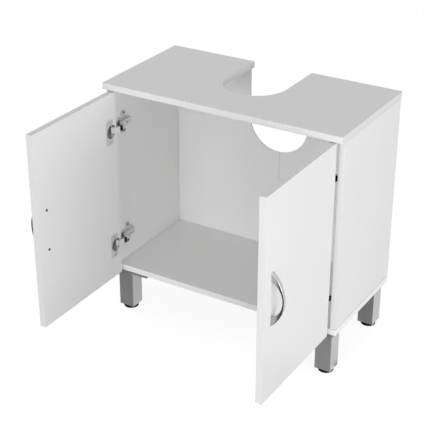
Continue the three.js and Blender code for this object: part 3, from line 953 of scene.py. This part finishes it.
FLOOR_SIZE = 30
FLOOR_DROP = 0.1 * MM  # under the feet, so that no two faces share a plane
FLOOR_GREY, FLOOR_GLOW = 0.25, 0.86
CARD_GREY = (0.03, 0.03, 0.03)
CARD_THICKNESS = 0.5 * MM
CARD_RISE = 2 * MM
CARDS = {  # size and place on the floor
    "front_card": ((3.0, 2.412), (0, -1.194)),
    "leg_card": ((0.24, 0.19), (0.18, 0.1493)),
}
LAMPS = {  # size and place, each named like its power in the settings
    "right_lamp": ((2.0, 1.4), (3.2, -1.0, 0.7)),
    "front_lamp": ((1.6, 1.2), (0.1, -3.4, 0.8)),
    "corner_lamp": ((1.8, 0.9), (2.5, -2.4, 0.5)),
}
LAMP_AIM = (0, 0, 0.3)
SENSOR_WIDTH = 36.0  # in millimetres, as the lens
SIGHT = 50  # how far the camera sees


def seen_white(name, grey, glow):
    """A pale surface that the camera and reflections see near white, with soft shadows."""
    tree = shade(name)
    return tree.surface(
        base_color=(grey, grey, grey, 1),
        roughness=0.9,
        specular_ior_level=0.0,
        emission_color=(1, 1, 1, 1),
        emission_strength=tree.seen() * glow,
    )


def dark_card(name, size, at, finish):
    """A dark card that shows in reflections alone and gives bright metal its contrast."""
    card = cuboid(name, (*size, CARD_THICKNESS), (*at, CARD_RISE))
    card.data.materials.append(finish)
    for ray in ("camera", "diffuse", "transmission", "volume_scatter", "shadow"):
        setattr(card, f"visible_{ray}", False)


def studio_air(name, ambient):
    """Even light from all round, seen as plain white."""
    world = bpy.data.worlds.new(name)
    air = Shade(world)
    white = (1, 1, 1, 1)
    even = air.add("ShaderNodeBackground", None, {"Color": white, "Strength": ambient})
    plain = air.add("ShaderNodeBackground", None, {"Color": white})
    both = air.add("ShaderNodeMixShader", None, {"Fac": air.seen(), 1: even, 2: plain})
    air.add("ShaderNodeOutputWorld", None, {"Surface": both})
    return world


def lamp(name, power, size, at, aim):
    """A soft lamp that lights the cabinet and isn't seen itself."""
    bpy.ops.object.select_all(action="DESELECT")
    bpy.ops.object.light_add(type="AREA", location=at)
    obj = bpy.context.object
    obj.name = name
    obj.data.energy = power
    obj.data.shape = "RECTANGLE"
    obj.data.size, obj.data.size_y = size
    obj.rotation_mode = "QUATERNION"
    obj.rotation_quaternion = (Vector(aim) - Vector(at)).to_track_quat("-Z", "Y")
    obj.visible_camera = False


def studio_camera(use):
    """A camera at its place in the settings, turned by their two angles."""
    elevation, azimuth = use.elevation, use.azimuth
    back = Vector((
        math.sin(azimuth) * math.cos(elevation),
        -math.cos(azimuth) * math.cos(elevation),
        math.sin(elevation),
    ))
    bpy.ops.object.camera_add(location=use.camera_at)
    camera = bpy.context.object
    camera.name = "studio_camera"
    camera.rotation_mode = "QUATERNION"
    camera.rotation_quaternion = (-back).to_track_quat("-Z", "Y")
    camera.data.sensor_width = SENSOR_WIDTH
    camera.data.lens = use.lens
    camera.data.clip_end = SIGHT
    return camera


class CABINET_OT_stage(bpy.types.Operator):
    """Pale floor, soft studio light and the camera"""

    bl_idname = "cabinet.stage"
    bl_label = "Stage"

    def execute(self, context):
        use = context.scene.cabinet_stage
        scene = context.scene
        bpy.ops.object.select_all(action="DESELECT")
        bpy.ops.mesh.primitive_plane_add(size=FLOOR_SIZE, location=(0, 0, -FLOOR_DROP))
        floor = bpy.context.object
        floor.name = "studio_floor"
        floor.data.materials.append(seen_white("studio_floor_pale", FLOOR_GREY, FLOOR_GLOW))
        scene.world = studio_air("studio_air", use.ambient)
        finish = coated("card_grey", CARD_GREY, roughness=0.9, grain=40.0, specular=0.0)
        for name, (size, at) in CARDS.items():
            dark_card(name, size, at, finish)
        for name, (size, at) in LAMPS.items():
            lamp(name, getattr(use, name), size, at, LAMP_AIM)
        scene.camera = studio_camera(use)
        scene.view_settings.view_transform = "Standard"
        return {"FINISHED"}


# ---------------------------------------------------------------- add-on

STEPS = (
    CABINET_OT_stage,
    CABINET_OT_boards,
    CABINET_OT_back,
    CABINET_OT_doors,
    CABINET_OT_bows,
    CABINET_OT_hinges,
    CABINET_OT_screws,
    CABINET_OT_legs,
    CABINET_OT_feet,
)
GROUPS = {
    "cabinet_boards": CabinetBoardSettings,
    "cabinet_metal": CabinetMetalSettings,
    "cabinet_stage": CabinetStageSettings,
}


class CABINET_PT_panel(bpy.types.Panel):
    """Lists the steps that build the cabinet, and their settings"""

    bl_idname = "CABINET_PT_panel"
    bl_label = "Sink base cabinet"
    bl_space_type = "VIEW_3D"
    bl_region_type = "UI"
    bl_category = "Cabinet"

    def draw(self, context):
        layout = self.layout
        for step in STEPS:
            layout.operator(step.bl_idname)
        for group, kind in GROUPS.items():
            box = layout.box()
            for name in kind.__annotations__:
                box.prop(getattr(context.scene, group), name)


CLASSES = (*GROUPS.values(), *STEPS, CABINET_PT_panel)


def register():
    for kind in CLASSES:
        bpy.utils.register_class(kind)
    for group, kind in GROUPS.items():
        setattr(bpy.types.Scene, group, bpy.props.PointerProperty(type=kind))


def unregister():
    for group in GROUPS:
        delattr(bpy.types.Scene, group)
    for kind in reversed(CLASSES):
        bpy.utils.unregister_class(kind)


def main():
    register()
    for step in STEPS:
        module, name = step.bl_idname.split(".")
        getattr(getattr(bpy.ops, module), name)()


if __name__ == "__main__":
    main()
